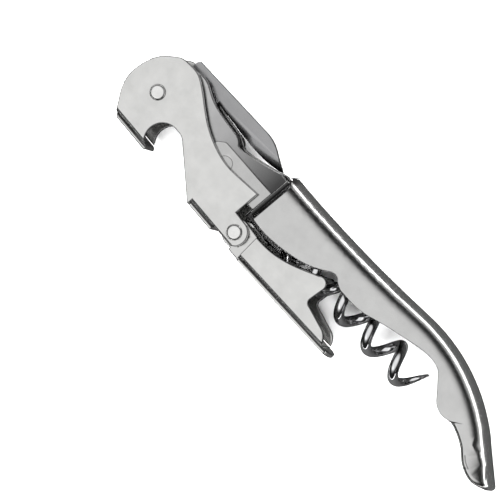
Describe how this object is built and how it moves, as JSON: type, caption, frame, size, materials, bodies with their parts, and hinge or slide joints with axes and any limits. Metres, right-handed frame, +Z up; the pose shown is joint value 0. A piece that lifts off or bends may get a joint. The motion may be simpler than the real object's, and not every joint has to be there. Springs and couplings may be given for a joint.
{
  "type": "lever corkscrew",
  "caption": "Folding pocket corkscrew of bent sheet steel with a double-hinged bottle lever, a cap lifter, a foil knife and a wire worm, folded shut.",
  "frame": {"origin": "under the middle of the folded object, on the surface it lies on", "axes": "+X from the round head to the tail of the handle, +Y towards the handle's back, +Z up along every pivot"},
  "size_m": [0.1206, 0.0254, 0.013],
  "materials": {
    "handle_steel": "satin-brushed stainless steel, polished over the back",
    "lever_steel": "fine-brushed stainless steel",
    "frame_steel": "rolled stainless steel, duller than the levers",
    "blade_steel": "ground stainless steel",
    "worm_chrome": "polished chrome-plated wire",
    "rivet_steel": "peened, lightly tumbled",
    "washer_steel": "plain punched steel",
    "spring_steel": "tempered spring steel"
  },
  "bodies": {
    "handle": {"handle_shell": "handle_steel", "frame_plate_near": "frame_steel", "frame_plate_far": "frame_steel", "front_spacer": "frame_steel", "ear_rivet": "rivet_steel", "rear_spacer": "frame_steel", "rear_rivet": "rivet_steel", "head_rivet": "rivet_steel", "lever_washer_near": "washer_steel", "lever_washer_far": "washer_steel", "knife_washer_near": "washer_steel", "knife_washer_far": "washer_steel", "worm_pin": "rivet_steel", "worm_bush_near": "washer_steel", "worm_bush_far": "washer_steel", "worm_spring": "spring_steel"},
    "upper_lever": {"upper_lever": "lever_steel", "hinge_rivet": "rivet_steel", "hinge_washer_near": "washer_steel", "hinge_washer_far": "washer_steel"},
    "lower_lever": {"lower_lever": "lever_steel"},
    "knife": {"knife_blade": "blade_steel"},
    "worm": {"worm": "worm_chrome"}
  },
  "joints": [
    {"name": "lever_swing", "type": "hinge", "parent": "handle", "child": "upper_lever", "pos_m": [-0.05277, 0.00181, 0.0065], "axis": [0, 0, -1], "range_deg": [0, 150]},
    {"name": "second_step_swing", "type": "hinge", "parent": "upper_lever", "child": "lower_lever", "pos_m": [-0.01887, -0.00769, 0.0065], "axis": [0, 0, -1], "range_deg": [0, 90]},
    {"name": "knife_swing", "type": "hinge", "parent": "handle", "child": "knife", "pos_m": [-0.05277, 0.00181, 0.0065], "axis": [0, 0, 1], "range_deg": [0, 149]},
    {"name": "worm_swing", "type": "hinge", "parent": "handle", "child": "worm", "pos_m": [-0.01527, -0.00059, 0.0065], "axis": [0, 0, -1], "range_deg": [0, 90]}
  ],
  "couplings": [
    {"joint": "worm_swing", "follows": "lever_swing", "ratio": 0.6}
  ]
}
